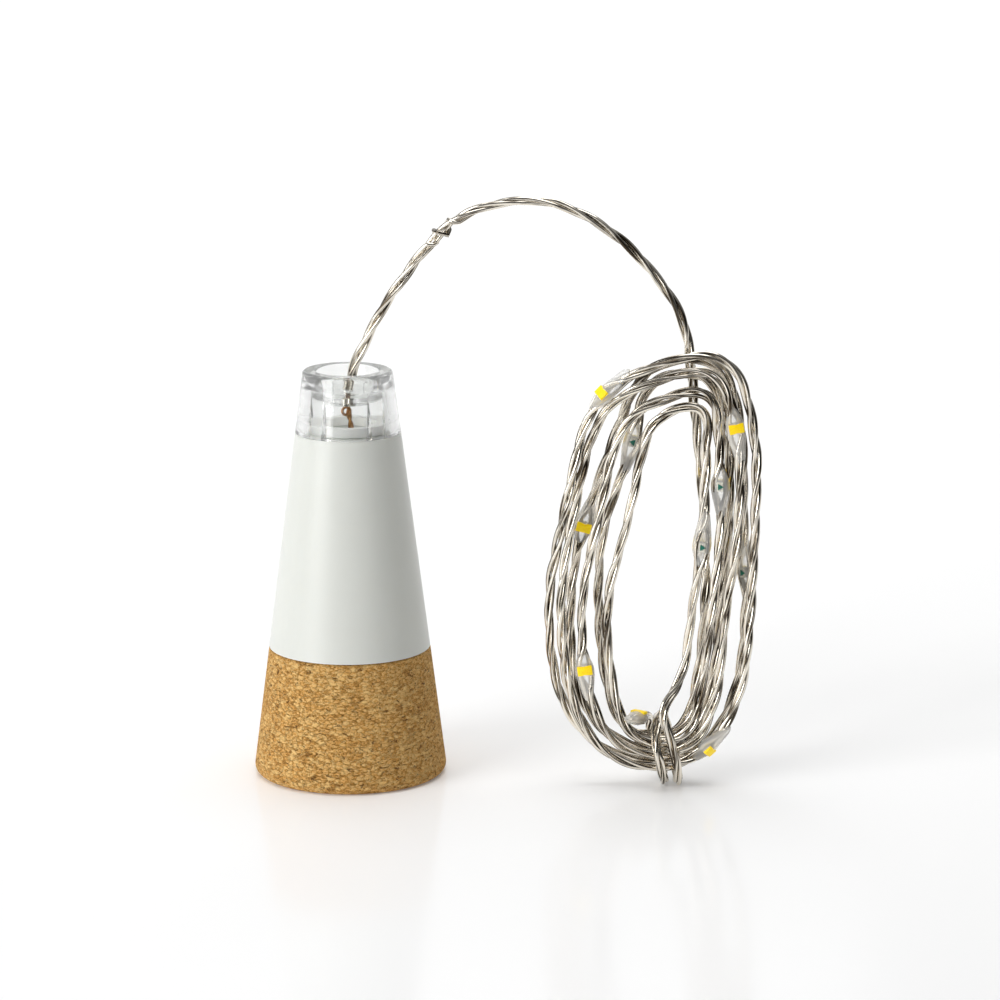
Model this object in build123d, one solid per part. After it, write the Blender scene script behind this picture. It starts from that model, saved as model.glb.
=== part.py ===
from build123d import *
import math
import os

# Cork bottle light: a tapered stopper with a rechargeable lamp unit, and its wire lights tied in a hank.
# Millimetres, +Z up. The cork end stands on Z = 0, the stopper's axis is the Z axis, and -Y is the front.

# Stopper
base_diameter = 28.0
tip_diameter = 12.8
stopper_height = 59.0
cork_height = 18.6
tip_height = 9.0
seam_gap = 0.1
base_round = 1.2
edge_round = 0.4

# Cork cap with its liner, its touch switch and the leaf that the charging plug presses on
liner_diameter = 17.6
liner_floor = 1.0
glue_gap = 0.1
disc_diameter = 9.0
disc_thickness = 0.6
disc_inset = 0.3
stem_diameter = 2.4
stem_gap = 0.05
leaf_thickness = 0.2
leaf_rise = 0.5
leaf_gap = 0.05

# Charging plug, the standard flat kind with four contacts
plug_width = 12.0
plug_depth = 4.5
plug_reach = 11.75
plug_back = 6.5
plug_wall = 0.3
plug_round = 0.6
plug_gap = 0.15
window_width = 2.3
window_height = 2.0
window_spread = 5.0
window_drop = 5.2
tongue_depth = 1.9
tongue_setback = 0.4
contact_width = 1.0
contact_thickness = 0.25
contact_length = 7.4
contact_step_back = 1.0
contact_places = (-3.5, -1.0, 1.0, 3.5)

# Housing with its end plate, and the rails that hold the board
housing_wall = 1.4
plate_thickness = 1.6
plate_ledge = 0.6
plate_gap = 0.05
boss_diameter = 15.0
boss_height = 1.2
deck_thickness = 1.4
deck_hole = 3.0
collar_height = 1.4
collar_wall = 0.9
rail_thickness = 0.6
rail_grip = 0.9
rail_gap = 0.1

# Board, cell and their parts
board_width = 11.0
board_thickness = 1.0
board_front = -1.7
board_foot = 0.3
board_headroom = 4.0
chip_sizes = ((4.9, 3.9, 1.4), (2.9, 1.6, 1.1), (2.9, 1.6, 1.1))
chip_places = ((0.0, 6.0), (-2.6, 12.0), (2.6, 12.0))
passive_size = (1.6, 0.8, 0.5)
passive_count = 5
passive_pitch = 1.9
passive_drop = 4.8
pad_thickness = 0.8
cell_width = 9.0
cell_depth = 4.0
cell_foot = 1.2
cell_headroom = 3.2
cell_round = 1.2
cell_lead_diameter = 0.8
cell_lead_spread = 4.0
cell_lead_rise = 1.8

# Clear tip: a cup with a well at its end, hollow underneath
tip_wall = 1.5
tip_gap = 0.05
tip_round = 0.6
tip_ceiling = 2.7
well_mouth_diameter = 9.0
well_floor_diameter = 7.6
well_depth = 3.4
well_floor = 1.2
boss_wall = 0.8
boss_round = 0.9
mouth_round = 0.4
rib_count = 4
rib_width = 2.4
rib_depth = 1.0
rib_gap = 0.1

# Wire string: three twisted strands make one cord
cord_diameter = 1.4
cord_gap = 0.15
tail_diameter = 0.9
tail_offset = 1.2
knot_wire = 0.55
knot_diameter = 1.65
knot_tilt = 20.0
knot_drop = 1.3
lead_drop = 0.2

# Free lead, from under the well's floor along the arch to the hank: X, Y and the rise above the lead's foot
lead_route = (
    (0.0, 0.0, 0.0),
    (0.2, 0.0, 3.4),
    (2.0, -0.2, 7.8),
    (4.6, -0.4, 13.0),
    (8.0, -0.6, 18.2),
    (11.8, -0.9, 23.2),
    (16.2, -1.3, 27.2),
    (21.8, -1.6, 29.0),
    (28.0, -2.0, 29.4),
    (34.4, -2.4, 27.0),
    (40.0, -2.7, 22.8),
    (44.4, -3.0, 17.8),
    (47.2, -3.4, 13.4),
    (48.25, -3.6, 9.3),
    (48.65, -3.6, 5.3),
)
arc_share = 0.45

# Hank: the loops spiral out in the back layer, climb along the left run and spiral in again in the front one
hank_turns = 6
hank_middle = -7.5
layer_gap = 1.6
climb_start = 2.65
climb_end = 2.85
hank_start_turn = 0.35
# Each station of a turn: share of the turn, then for the innermost loop its X and Z, then how the next
# loop out is placed, as a gap between cords and the direction of the step, then the direction of travel,
# and last how the front layer lies off the back one: X, Z and degrees of turn
stations = (
    (0.00, 46.5, 57.0, 1.05, (0.45, 2.75), (0.99, 0.12), (0.3, -0.3, 12.0)),
    (0.15, 51.3, 45.0, 1.05, (2.65, 0.6), (0.0, -1.0), (-0.7, 0.0, 0.0)),
    (0.35, 49.3, 19.5, 1.42, (2.75, -0.6), (-0.08, -1.0), (0.2, 0.0, 0.0)),
    (0.50, 44.0, 7.6, 0.45, (0.0, -1.0), (-1.0, 0.0), (0.0, 0.0, 0.0)),
    (0.65, 38.0, 18.0, 1.95, (-3.0, -0.3), (-0.10, 1.0), (0.0, 0.0, 0.0)),
    (0.85, 42.3, 44.5, 2.00, (-4.0, 0.4), (0.34, 0.94), (-0.5, 0.2, 6.0)),
)
# The tail goes round the bundle twice as the tie and ends on top of it: place, then direction of travel
tie_route = (
    ((46.8, -12.5, 8.6), (-0.12, -0.05, -1.0)),
    ((46.2, -7.5, 0.8), (-0.05, 1.0, 0.0)),
    ((45.8, -2.4, 5.0), (-0.05, 0.0, 1.0)),
    ((45.3, -7.5, 10.0), (-0.1, -1.0, 0.0)),
    ((44.3, -12.6, 4.8), (-0.12, 0.0, -1.0)),
    ((43.6, -7.5, 0.8), (-0.12, 1.0, 0.0)),
    ((42.9, -2.4, 4.8), (-0.08, 0.0, 1.0)),
    ((42.5, -4.6, 9.3), (-0.32, -0.93, 0.2)),
    ((39.9, -12.2, 10.9), (-0.32, -0.93, 0.2)),
)

# LED drops: distance back from the string's end, and the way that the chip faces
drop_length = 7.4
drop_diameter = 3.0
drop_end_diameter = 1.9
drop_lift = 0.45
drop_bore_gap = 0.05
chip_width = 2.0
chip_length = 1.25
chip_base = 0.25
chip_lens = 0.35
chip_gap = 0.08
drops = (
    (796.7, (0.0, 1.0, 0.0)),
    (682.2, (0.0, -1.0, 0.0)),
    (616.8, (0.6, 0.8, 0.0)),
    (519.4, (-0.6, -0.5, 0.6)),
    (440.8, (0.4, -0.6, -0.7)),
    (347.1, (0.2, -1.0, 0.0)),
    (276.9, (0.0, -1.0, 0.0)),
    (212.4, (0.1, 1.0, 0.0)),
    (91.0, (0.0, 1.0, 0.0)),
    (5.8, (0.3, 0.7, 0.6)),
)

# Levels worked out from the sizes above
seam_z = cork_height + seam_gap
tip_z = stopper_height - tip_height
boss_z = seam_z - boss_height
plug_end_z = boss_z - plug_reach
leaf_z = plug_end_z - leaf_gap - leaf_rise - leaf_thickness
cork_floor_z = leaf_z - liner_floor
plug_back_z = boss_z + plug_back
deck_under_z = tip_z - deck_thickness
board_foot_z = plug_back_z + board_foot
board_top_z = deck_under_z - board_headroom
board_back = board_front + board_thickness
cell_front = board_back + pad_thickness
cell_foot_z = board_foot_z + cell_foot
cell_top_z = board_top_z - cell_headroom
well_floor_z = stopper_height - well_depth
tip_boss_z = well_floor_z - well_floor
ceiling_z = stopper_height - tip_ceiling
tip_seat_z = tip_z + tip_gap
lead_foot_z = tip_boss_z - lead_drop
cord_radius = cord_diameter / 2


def stopper_radius(z):
    """Outer radius of the stopper's cone at a height."""
    slope = (base_diameter - tip_diameter) / 2 / stopper_height
    return base_diameter / 2 - slope * z


def turned(outline):
    """Solid turned about the Z axis from a closed outline of (radius, height) points."""
    face = make_face(Polyline(*outline, close=True))
    return revolve(Plane.XZ * face, Axis.Z)


def rim(solid, radius, z):
    """Circular edges of a solid at a radius and a height."""
    edges = solid.edges().filter_by(GeomType.CIRCLE)
    return [e for e in edges if abs(e.radius - radius) < 0.01 and abs(e.arc_center.Z - z) < 0.01]


def block(x0, x1, y0, y1, z0, z1):
    """Box between two corners."""
    centre = ((x0 + x1) / 2, (y0 + y1) / 2, (z0 + z1) / 2)
    return Pos(*centre) * Box(x1 - x0, y1 - y0, z1 - z0)


def tube(path, radius):
    """Round tube along a path of tangent lines and arcs."""
    section = Plane(path.position_at(0), z_dir=path.tangent_at(0)) * Circle(radius)
    return sweep(section, path=path)


def save(name, solid):
    """Write one subcomponent."""
    export_step(solid, "parts/" + name + ".step")


def cork_sleeve():
    """Cork cup: the liner sits in it, and the touch switch in a recess of its end."""
    recess = disc_inset + disc_thickness
    disc_hole = disc_diameter / 2 + glue_gap
    stem_hole = stem_diameter / 2 + stem_gap
    liner_hole = liner_diameter / 2 + glue_gap
    solid = turned((
        (disc_hole, 0), (base_diameter / 2, 0), (stopper_radius(cork_height), cork_height),
        (liner_hole, cork_height), (liner_hole, cork_floor_z), (stem_hole, cork_floor_z),
        (stem_hole, recess), (disc_hole, recess),
    ))
    solid = fillet(rim(solid, base_diameter / 2, 0), base_round)
    return fillet(rim(solid, stopper_radius(cork_height), cork_height), edge_round)


def cap_liner():
    """Moulded liner with the socket that the charging plug is pushed into."""
    top = boss_z - plug_gap
    radius = liner_diameter / 2
    well_radius = boss_diameter / 2 + plug_gap
    solid = Pos(0, 0, cork_floor_z) * Cylinder(radius, cork_height - cork_floor_z, align=BASE)
    solid -= Pos(0, 0, top) * Cylinder(well_radius, cork_height - top, align=BASE)
    half_width = plug_width / 2 + plug_gap
    half_depth = plug_depth / 2 + plug_gap
    solid -= block(-half_width, half_width, -half_depth, half_depth, leaf_z, top)
    return solid - Pos(0, 0, cork_floor_z) * Cylinder(stem_diameter / 2 + stem_gap, liner_floor, align=BASE)


def touch_disc():
    """Metal disc that is the touch switch, with the stem that carries its signal to the leaf."""
    stem_z = disc_inset + disc_thickness
    solid = Pos(0, 0, disc_inset) * Cylinder(disc_diameter / 2, disc_thickness, align=BASE)
    solid = fillet(rim(solid, disc_diameter / 2, disc_inset), disc_thickness / 3)
    return solid + Pos(0, 0, stem_z) * Cylinder(stem_diameter / 2, leaf_z - stem_z, align=BASE)


def contact_leaf():
    """Bowed spring leaf between the switch's stem and the plug's shell."""
    half = plug_width / 2 - plug_gap
    low = leaf_z
    under = ThreePointArc((-half, low), (0, low + leaf_rise), (half, low))
    over = ThreePointArc((half, low + leaf_thickness), (0, low + leaf_rise + leaf_thickness),
                         (-half, low + leaf_thickness))
    ends = Line(under @ 1, over @ 0) + Line(over @ 1, under @ 0)
    face = make_face(under + over + ends)
    return extrude(Plane.XZ * face, amount=plug_depth / 2 - plug_gap, both=True)


def plug_shell():
    """Folded metal shell of the charging plug, with its two windows in each wide side."""
    length = plug_back_z - plug_end_z
    outer = RectangleRounded(plug_width, plug_depth, plug_round)
    inner = RectangleRounded(plug_width - 2 * plug_wall, plug_depth - 2 * plug_wall, plug_round - plug_wall)
    solid = Pos(0, 0, plug_end_z) * extrude(outer - inner, amount=length)
    window_z = plug_end_z + window_drop
    for side in (-1, 1):
        middle = side * window_spread / 2
        solid -= block(middle - window_width / 2, middle + window_width / 2, -plug_depth, plug_depth,
                       window_z, window_z + window_height)
    return solid


def plug_tongue():
    """Insulator that fills the shell's back and carries the contacts on its tongue."""
    half_width = plug_width / 2 - plug_wall - glue_gap
    half_depth = plug_depth / 2 - plug_wall - glue_gap
    solid = block(-half_width, half_width, -half_depth, half_depth, boss_z, plug_back_z)
    tongue = block(-half_width, half_width, -half_depth, tongue_depth - half_depth,
                   plug_end_z + tongue_setback, boss_z)
    return solid + tongue


def plug_contacts():
    """Four contacts on the tongue, the outer two longer than the inner two."""
    face_y = tongue_depth - (plug_depth / 2 - plug_wall - glue_gap)
    strips = []
    for x in contact_places:
        is_inner = abs(x) < max(contact_places)
        length = contact_length - (contact_step_back if is_inner else 0)
        strips.append(block(x - contact_width / 2, x + contact_width / 2, face_y, face_y + contact_thickness,
                            boss_z - length, boss_z))
    return Compound(strips)


def housing():
    """White shell: open at the wide end, with a deck and a collar for the clear tip at the other."""
    seat_radius = stopper_radius(seam_z) - plate_ledge
    ledge_z = seam_z + plate_thickness
    collar_radius = stopper_radius(tip_z) - tip_wall - rib_depth - rib_gap
    solid = turned((
        (stopper_radius(seam_z), seam_z), (stopper_radius(tip_z), tip_z), (collar_radius, tip_z),
        (collar_radius, tip_z + collar_height), (collar_radius - collar_wall, tip_z + collar_height),
        (collar_radius - collar_wall, tip_z), (deck_hole / 2, tip_z), (deck_hole / 2, deck_under_z),
        (stopper_radius(deck_under_z) - housing_wall, deck_under_z),
        (stopper_radius(ledge_z) - housing_wall, ledge_z), (seat_radius, ledge_z), (seat_radius, seam_z),
    ))
    rails = board_rails()
    return solid + rails


def board_rails():
    """Two pairs of rails down the housing's inside, with the board's edges between them."""
    root = turned((
        (0, board_foot_z), (stopper_radius(board_foot_z) - housing_wall / 2, board_foot_z),
        (stopper_radius(deck_under_z) - housing_wall / 2, deck_under_z), (0, deck_under_z),
    ))
    inner = board_width / 2 - rail_grip
    outer = base_diameter / 2
    rails = []
    for side in (-1, 1):
        x0, x1 = sorted((side * inner, side * outer))
        for y in (board_front - rail_gap - rail_thickness, board_back + rail_gap):
            bar = block(x0, x1, y, y + rail_thickness, board_foot_z, deck_under_z)
            rails.append(bar & root)
    return rails


def end_plate():
    """Plate in the housing's wide end, with the boss that the charging plug comes out of."""
    radius = stopper_radius(seam_z) - plate_ledge - plate_gap
    solid = Pos(0, 0, seam_z) * Cylinder(radius, plate_thickness, align=BASE)
    solid += Pos(0, 0, boss_z) * Cylinder(boss_diameter / 2, boss_height, align=BASE)
    half_width = plug_width / 2 + glue_gap
    half_depth = plug_depth / 2 + glue_gap
    return solid - block(-half_width, half_width, -half_depth, half_depth, boss_z, seam_z + plate_thickness)


def circuit_board():
    """Board that stands behind the plug."""
    half = board_width / 2
    return block(-half, half, board_front, board_back, board_foot_z, board_top_z)


def board_chips():
    """Charger, touch and lamp driver chips on the board's front."""
    chips = []
    for (width, height, depth), (x, rise) in zip(chip_sizes, chip_places):
        z = board_foot_z + rise
        chips.append(block(x - width / 2, x + width / 2, board_front - depth, board_front,
                           z - height / 2, z + height / 2))
    return Compound(chips)


def board_passives():
    """Row of small resistors and capacitors on the board's front."""
    width, height, depth = passive_size
    z = board_top_z - passive_drop
    row = []
    for number in range(passive_count):
        x = (number - (passive_count - 1) / 2) * passive_pitch
        row.append(block(x - height / 2, x + height / 2, board_front - depth, board_front, z, z + width))
    return Compound(row)


def cell_pad():
    """Foam pad between the board and the cell."""
    half = cell_width / 2 - cell_round
    return block(-half, half, board_back, cell_front, cell_foot_z + cell_round, cell_top_z - cell_round)


def battery_cell():
    """Flat rechargeable cell behind the board."""
    half = cell_width / 2
    solid = block(-half, half, cell_front, cell_front + cell_depth, cell_foot_z, cell_top_z)
    return fillet(solid.edges().filter_by(Axis.Z), cell_round)


def cell_lead(side):
    """Wire from the cell's top to the board's back."""
    x = side * cell_lead_spread / 2
    y = cell_front + cell_depth / 2
    z = cell_top_z + cell_lead_rise
    path = FilletPolyline((x, y, cell_top_z), (x, y, z), (x, board_back, z), radius=cell_lead_rise * 0.7)
    return tube(path, cell_lead_diameter / 2)


def tip_lens():
    """Clear tip: a well in its end, a floor that the cord passes through, and ribs that grip the collar."""
    top_radius = stopper_radius(stopper_height)
    inner_low = stopper_radius(tip_seat_z) - tip_wall
    inner_high = stopper_radius(ceiling_z) - tip_wall
    boss_radius = well_floor_diameter / 2 + boss_wall
    hole = cord_radius + cord_gap
    solid = turned((
        (inner_low, tip_seat_z), (stopper_radius(tip_seat_z), tip_seat_z), (top_radius, stopper_height),
        (well_mouth_diameter / 2, stopper_height), (well_floor_diameter / 2, well_floor_z),
        (hole, well_floor_z), (hole, tip_boss_z), (boss_radius, tip_boss_z), (boss_radius, ceiling_z),
        (inner_high, ceiling_z),
    ))
    solid = fillet(rim(solid, top_radius, stopper_height), tip_round)
    solid = fillet(rim(solid, well_mouth_diameter / 2, stopper_height), mouth_round)
    solid = fillet(rim(solid, boss_radius, tip_boss_z), boss_round)
    return solid + tip_ribs(inner_low)


def tip_ribs(inner_low):
    """Ribs down the tip's inside, as deep as the collar's room allows."""
    reach = stopper_radius(tip_z) - tip_wall - rib_depth
    outer = inner_low + tip_wall / 2
    bar = block(reach, outer, -rib_width / 2, rib_width / 2, tip_seat_z, ceiling_z)
    root = turned((
        (0, tip_seat_z), (stopper_radius(tip_seat_z) - tip_wall / 2, tip_seat_z),
        (stopper_radius(ceiling_z) - tip_wall / 2, ceiling_z), (0, ceiling_z),
    ))
    bar = bar & root
    return [Rot(0, 0, 45 + 360 / rib_count * number) * bar for number in range(rib_count)]


def inner_lead():
    """Coloured lead from the board's top edge, through the deck, to the cord under the well."""
    y = (board_front + board_back) / 2
    bend_z = (board_top_z + deck_under_z) / 2
    path = FilletPolyline(
        (0, y, board_top_z), (0, y, bend_z - tail_offset / 2), (0, 0, bend_z + tail_offset), (0, 0, lead_foot_z),
        radius=tail_diameter,
    )
    return tube(path, tail_diameter / 2)


def lead_knot():
    """Knot in the lead under the well's floor, larger than the hole above it."""
    ring = Torus(knot_diameter / 2, knot_wire / 2)
    return Pos(0, 0, tip_boss_z - knot_drop) * Rot(knot_tilt, 0, 0) * ring


def lead_points():
    """Points of the free lead, above its foot under the well's floor."""
    return [Vector(x, y, lead_foot_z + rise) for x, y, rise in lead_route]


def lead_path():
    """Free lead's line: straight runs joined by arcs as large as the runs allow."""
    points = lead_points()
    radii = []
    for before, here, after in zip(points, points[1:], points[2:]):
        turn = math.radians((here - before).get_angle(after - here))
        shorter = min((here - before).length, (after - here).length)
        radii.append(arc_share * shorter / math.tan(turn / 2))
    return FilletPolyline(*points, radius=radii)


def loop_station(turn, station):
    """Place and direction of travel at one station of one turn of the hank."""
    share, x, z, gap, (step_x, step_z), (way_x, way_z), (front_x, front_z, front_turn) = station
    position = turn + share
    loop = min(position, hank_turns - position)
    step = (cord_diameter + gap) / math.hypot(step_x, step_z) * loop
    climb = min(1, max(0, (position - climb_start) / (climb_end - climb_start)))
    y = hank_middle + (cord_diameter + layer_gap) * (0.5 - climb)
    place = Vector(x + step_x * step + front_x * climb, y, z + step_z * step + front_z * climb)
    heading = math.atan2(way_x, way_z) + math.radians(front_turn) * climb
    return place, Vector(math.sin(heading), 0, math.cos(heading))


def hank_line():
    """Stations of the whole hank, with a straight start and end one cord diameter long."""
    before, start = lead_points()[-2:]
    way = (start - before).normalized()
    line = [(start, way), (start + way * cord_diameter, way)]
    for turn in range(hank_turns + 1):
        for station in stations:
            position = turn + station[0]
            if hank_start_turn <= position <= hank_turns + hank_start_turn:
                line.append(loop_station(turn, station))
    for place, way in tie_route:
        line.append((Vector(*place), Vector(*way).normalized()))
    last, way = line[-1]
    line.append((last + way * cord_diameter, way))
    return line


def biarc(start, start_way, end, end_way):
    """Two arcs that join two places, tangent to each other and to the way of travel at both."""
    span = end - start
    a = 2 * (1 - start_way.dot(end_way))
    b = 2 * span.dot(start_way + end_way)
    c = -span.dot(span)
    reach = -c / b if a < 1e-9 else (-b + math.sqrt(b * b - 4 * a * c)) / (2 * a)
    first = start + start_way * reach
    second = end - end_way * reach
    middle = (first + second) * 0.5
    return [arc(start, start_way, middle), arc(middle, (second - first).normalized(), end)]


def arc(start, way, end):
    """Arc from a place with a direction to another place, or a line where they are in line."""
    if (end - start).cross(way).length < 1e-6:
        return Line(start, end)
    return TangentArc(start, end, tangent=way)


def hank_edges():
    """Lines and arcs of the hank, in order."""
    edges = []
    line = hank_line()
    for (start, start_way), (end, end_way) in zip(line, line[1:]):
        if (end - start).cross(start_way).length < 1e-6:
            edges.append(Line(start, end))
        else:
            edges += biarc(start, start_way, end, end_way)
    return edges


def least_gap(edges):
    """Least gap between turns of the hank, measured on points half a diameter apart."""
    points = []
    for edge in edges:
        count = max(2, math.ceil(edge.length / cord_radius))
        points += [tuple(edge.position_at(number / count)) for number in range(count)]
    near = math.ceil(4 * cord_diameter / cord_radius)
    gaps = []
    for number, point in enumerate(points):
        gaps += [math.dist(point, other) for other in points[number + near:]]
    return min(gaps) - cord_diameter


def drop_frame(edges, distance, facing):
    """Plane of one LED drop on the hank: Z along the cord, X the way that the chip faces."""
    run = 0
    for edge in edges:
        if run + edge.length >= distance:
            share = (distance - run) / edge.length
            way = edge.tangent_at(share)
            face = Vector(*facing)
            face = (face - way * face.dot(way)).normalized()
            return Plane(edge.position_at(share), x_dir=face, z_dir=way)
        run += edge.length


def near_edges(edges, distance):
    """Edges of the hank that pass through a drop at a distance along it."""
    run = 0
    chosen = []
    for edge in edges:
        if run + edge.length > distance - drop_length and run < distance + drop_length:
            chosen.append(edge)
        run += edge.length
    return chosen


def led_drop(edges, distance, facing):
    """Clear drop on the cord with the chip and its lens inside, as three solids."""
    frame = drop_frame(edges, distance, facing)
    half = drop_length / 2
    end = drop_end_diameter / 2
    curve = ThreePointArc((end, -half), (drop_diameter / 2, 0), (end, half))
    sides = Polyline((end, half), (0, half), (0, -half), (end, -half))
    spindle = revolve(Plane.XZ * make_face(curve + sides), Axis.Z)
    base_x = cord_radius + chip_gap
    lens_x = base_x + chip_base
    top_x = lens_x + chip_lens
    across = chip_width / 2
    along = chip_length / 2
    base = block(base_x, lens_x, -across, across, -along, along)
    lens = block(lens_x, top_x, -across, across, -along, along)
    pocket = block(0, top_x, -across, across, -along, along)
    drop = Pos(drop_lift, 0, 0) * spindle - pocket
    bore = tube(Wire(near_edges(edges, distance)), cord_radius + drop_bore_gap)
    return frame * drop - bore, frame * base, frame * lens


BASE = (Align.CENTER, Align.CENTER, Align.MIN)

os.makedirs("parts", exist_ok=True)

save("cork_sleeve", cork_sleeve())
save("cap_liner", cap_liner())
save("touch_disc", touch_disc())
save("contact_leaf", contact_leaf())

save("plug_shell", plug_shell())
save("plug_tongue", plug_tongue())
save("plug_contacts", plug_contacts())

save("housing", housing())
save("end_plate", end_plate())
save("circuit_board", circuit_board())
save("board_chips", board_chips())
save("board_passives", board_passives())
save("cell_pad", cell_pad())
save("battery_cell", battery_cell())
save("cell_lead_red", cell_lead(-1))
save("cell_lead_black", cell_lead(1))

save("tip_lens", tip_lens())
save("inner_lead", inner_lead())
save("lead_knot", lead_knot())

lead = lead_path()
lead_tube = tube(lead, cord_radius)
save("string_lead", lead_tube)
hank = hank_edges()
hank_tube = tube(Wire(hank), cord_radius)
save("string_hank", hank_tube)
hank_length = sum(edge.length for edge in hank)
section_area = math.pi * cord_radius ** 2
print("lead length", round(lead.length, 1), "volume share", round(lead_tube.volume / section_area / lead.length, 4))
print("hank length", round(hank_length, 1), "volume share", round(hank_tube.volume / section_area / hank_length, 4))
print("hank's least gap to itself", round(least_gap(hank), 2))

for number, (distance, facing) in enumerate(drops, start=1):
    drop, base, lens = led_drop(hank, hank_length - distance, facing)
    save(f"led_drop_{number:02d}", drop)
    save(f"led_chip_{number:02d}", base)
    save(f"led_lens_{number:02d}", lens)
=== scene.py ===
import math

import bpy
from bpy.props import FloatProperty, FloatVectorProperty, IntProperty, PointerProperty
from bpy.types import Operator, Panel, PropertyGroup
from mathutils import Matrix, Vector


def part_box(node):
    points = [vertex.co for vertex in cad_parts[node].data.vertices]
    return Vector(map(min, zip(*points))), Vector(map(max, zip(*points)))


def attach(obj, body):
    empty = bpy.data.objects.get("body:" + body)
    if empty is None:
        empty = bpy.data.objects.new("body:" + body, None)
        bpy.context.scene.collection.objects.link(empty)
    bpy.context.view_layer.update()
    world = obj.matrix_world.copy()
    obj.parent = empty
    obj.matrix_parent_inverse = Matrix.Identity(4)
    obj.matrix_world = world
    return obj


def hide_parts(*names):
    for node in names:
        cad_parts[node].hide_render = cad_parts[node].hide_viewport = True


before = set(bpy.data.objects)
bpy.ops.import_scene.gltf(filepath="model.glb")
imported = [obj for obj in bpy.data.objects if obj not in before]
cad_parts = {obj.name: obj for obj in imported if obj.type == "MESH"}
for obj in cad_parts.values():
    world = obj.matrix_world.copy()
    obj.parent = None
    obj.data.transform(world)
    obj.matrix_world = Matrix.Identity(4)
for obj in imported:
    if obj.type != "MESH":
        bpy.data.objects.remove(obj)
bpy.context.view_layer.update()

bl_info = {
    "name": "Cork Bottle Light",
    "version": (1, 0, 0),
    "blender": (4, 5, 0),
    "location": "3D View > Sidebar > Bottle Light",
    "description": "Dresses a bottle light's CAD frame with cork, clear plastic, twisted wire and LED drops",
    "category": "Object",
}

MM = 0.001
LED_NUMBERS = range(1, 11)

# Free lead of the wire string, from under the well's floor over the arch to the hank
LEAD_ROUTE = (
    (0.0, 0.0, 0.0542),
    (0.0002, 0.0, 0.0576),
    (0.0020, -0.0002, 0.0620),
    (0.0046, -0.0004, 0.0672),
    (0.0080, -0.0006, 0.0724),
    (0.0118, -0.0009, 0.0774),
    (0.0162, -0.0013, 0.0814),
    (0.0218, -0.0016, 0.0832),
    (0.0280, -0.0020, 0.0836),
    (0.0344, -0.0024, 0.0812),
    (0.0400, -0.0027, 0.0770),
    (0.0444, -0.0030, 0.0720),
    (0.0472, -0.0034, 0.0676),
    (0.04825, -0.0036, 0.0635),
    (0.04865, -0.0036, 0.0595),
)

# Bare copper of the string inside the clear tip, from the board up to the well's floor
COPPER_ROUTE = (
    (0.0, -0.0012, 0.0446),
    (0.0, -0.0012, 0.0468),
    (0.0003, -0.0008, 0.0490),
    (0.0005, -0.0003, 0.0508),
    (0.0001, -0.0001, 0.0526),
    (0.0, 0.0, 0.0542),
)

# Hank: six turns in two layers, out in the back one and in again in the front one
HANK_TURNS = 6
HANK_START_TURN = 0.35
HANK_MIDDLE = -0.0075
LAYER_STEP = 0.0030
CLIMB = (2.65, 2.85)
CORD = 0.0014
# Stretch of the free lead where the strands have snarled, from the lead's foot
SNARL = (0.026, 0.0315)
# Wire past the middle of the last drop, so that its end lies inside
WIRE_END = 0.003
# Hand-wound loops close up on the next one here and there: share of the gap, with its rate and phase along the turns
STRAY_SHARE = 0.25
STRAY_RATE = 8.37
STRAY_PHASE = 0.39
# Hand-wound wire never lies quite straight: how far its control points sway, and where they lie in a stretch
SWAY = 0.00032
CONTROL_SHARE = 0.3
# Share of the turn, X and Z of the innermost loop, gap to the next loop, step outwards, way of travel, and
# the front layer's shift in X and Z with its degrees of turn
STATIONS = (
    (0.00, 0.0465, 0.0570, 0.00105, (0.45, 2.75), (0.99, 0.12), (0.0005, -0.0018, -5)),
    (0.15, 0.0513, 0.0450, 0.00105, (2.65, 0.6), (0.0, -1.0), (-0.0005, -0.0016, 0)),
    (0.35, 0.0493, 0.0195, 0.00142, (2.75, -0.6), (-0.08, -1.0), (-0.0003, 0.0, 0)),
    (0.50, 0.0440, 0.0076, 0.00045, (0.0, -1.0), (-1.0, 0.0), (0.0, 0.0, 0)),
    (0.65, 0.0380, 0.0180, 0.00195, (-3.0, -0.3), (-0.10, 1.0), (0.0004, 0.0, 0)),
    (0.85, 0.0423, 0.0445, 0.00200, (-4.0, 0.4), (0.34, 0.94), (-0.0008, 0.0040, -9)),
)
# The tail goes round the bundle twice as the tie and ends on top of it: place and way of travel
TIE_ROUTE = (
    ((0.0456, -0.0119, 0.0088), (0.35, -0.05, -1.0)),
    ((0.0472, -0.0075, 0.0008), (0.05, 1.0, 0.0)),
    ((0.0462, -0.0032, 0.0050), (-0.25, 0.0, 1.0)),
    ((0.0446, -0.0075, 0.0100), (-0.1, -1.0, 0.0)),
    ((0.0441, -0.0118, 0.0048), (0.35, 0.0, -1.0)),
    ((0.0452, -0.0075, 0.0008), (0.0, 1.0, 0.0)),
    ((0.0438, -0.0032, 0.0048), (-0.3, 0.0, 1.0)),
    ((0.0425, -0.0046, 0.0093), (-0.32, -0.93, 0.2)),
    ((0.0399, -0.0122, 0.0109), (-0.32, -0.93, 0.2)),
)

# Large soft boxes, the key from the left, a weaker one from behind and one overhead: name, place, the point that it
# is aimed at, size, and power in watts
SOFT_BOXES = (
    ("key_light", (-0.95, -0.75, 0.42), (0.0, 0.0, 0.03), 0.7, 11.0),
    ("rim_light", (-0.10, 0.75, 0.60), (0.03, 0.0, 0.03), 0.6, 0.8),
    ("top_light", (0.03, 0.05, 0.62), (0.02, 0.0, 0.0), 0.5, 2.0),
)
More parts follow.
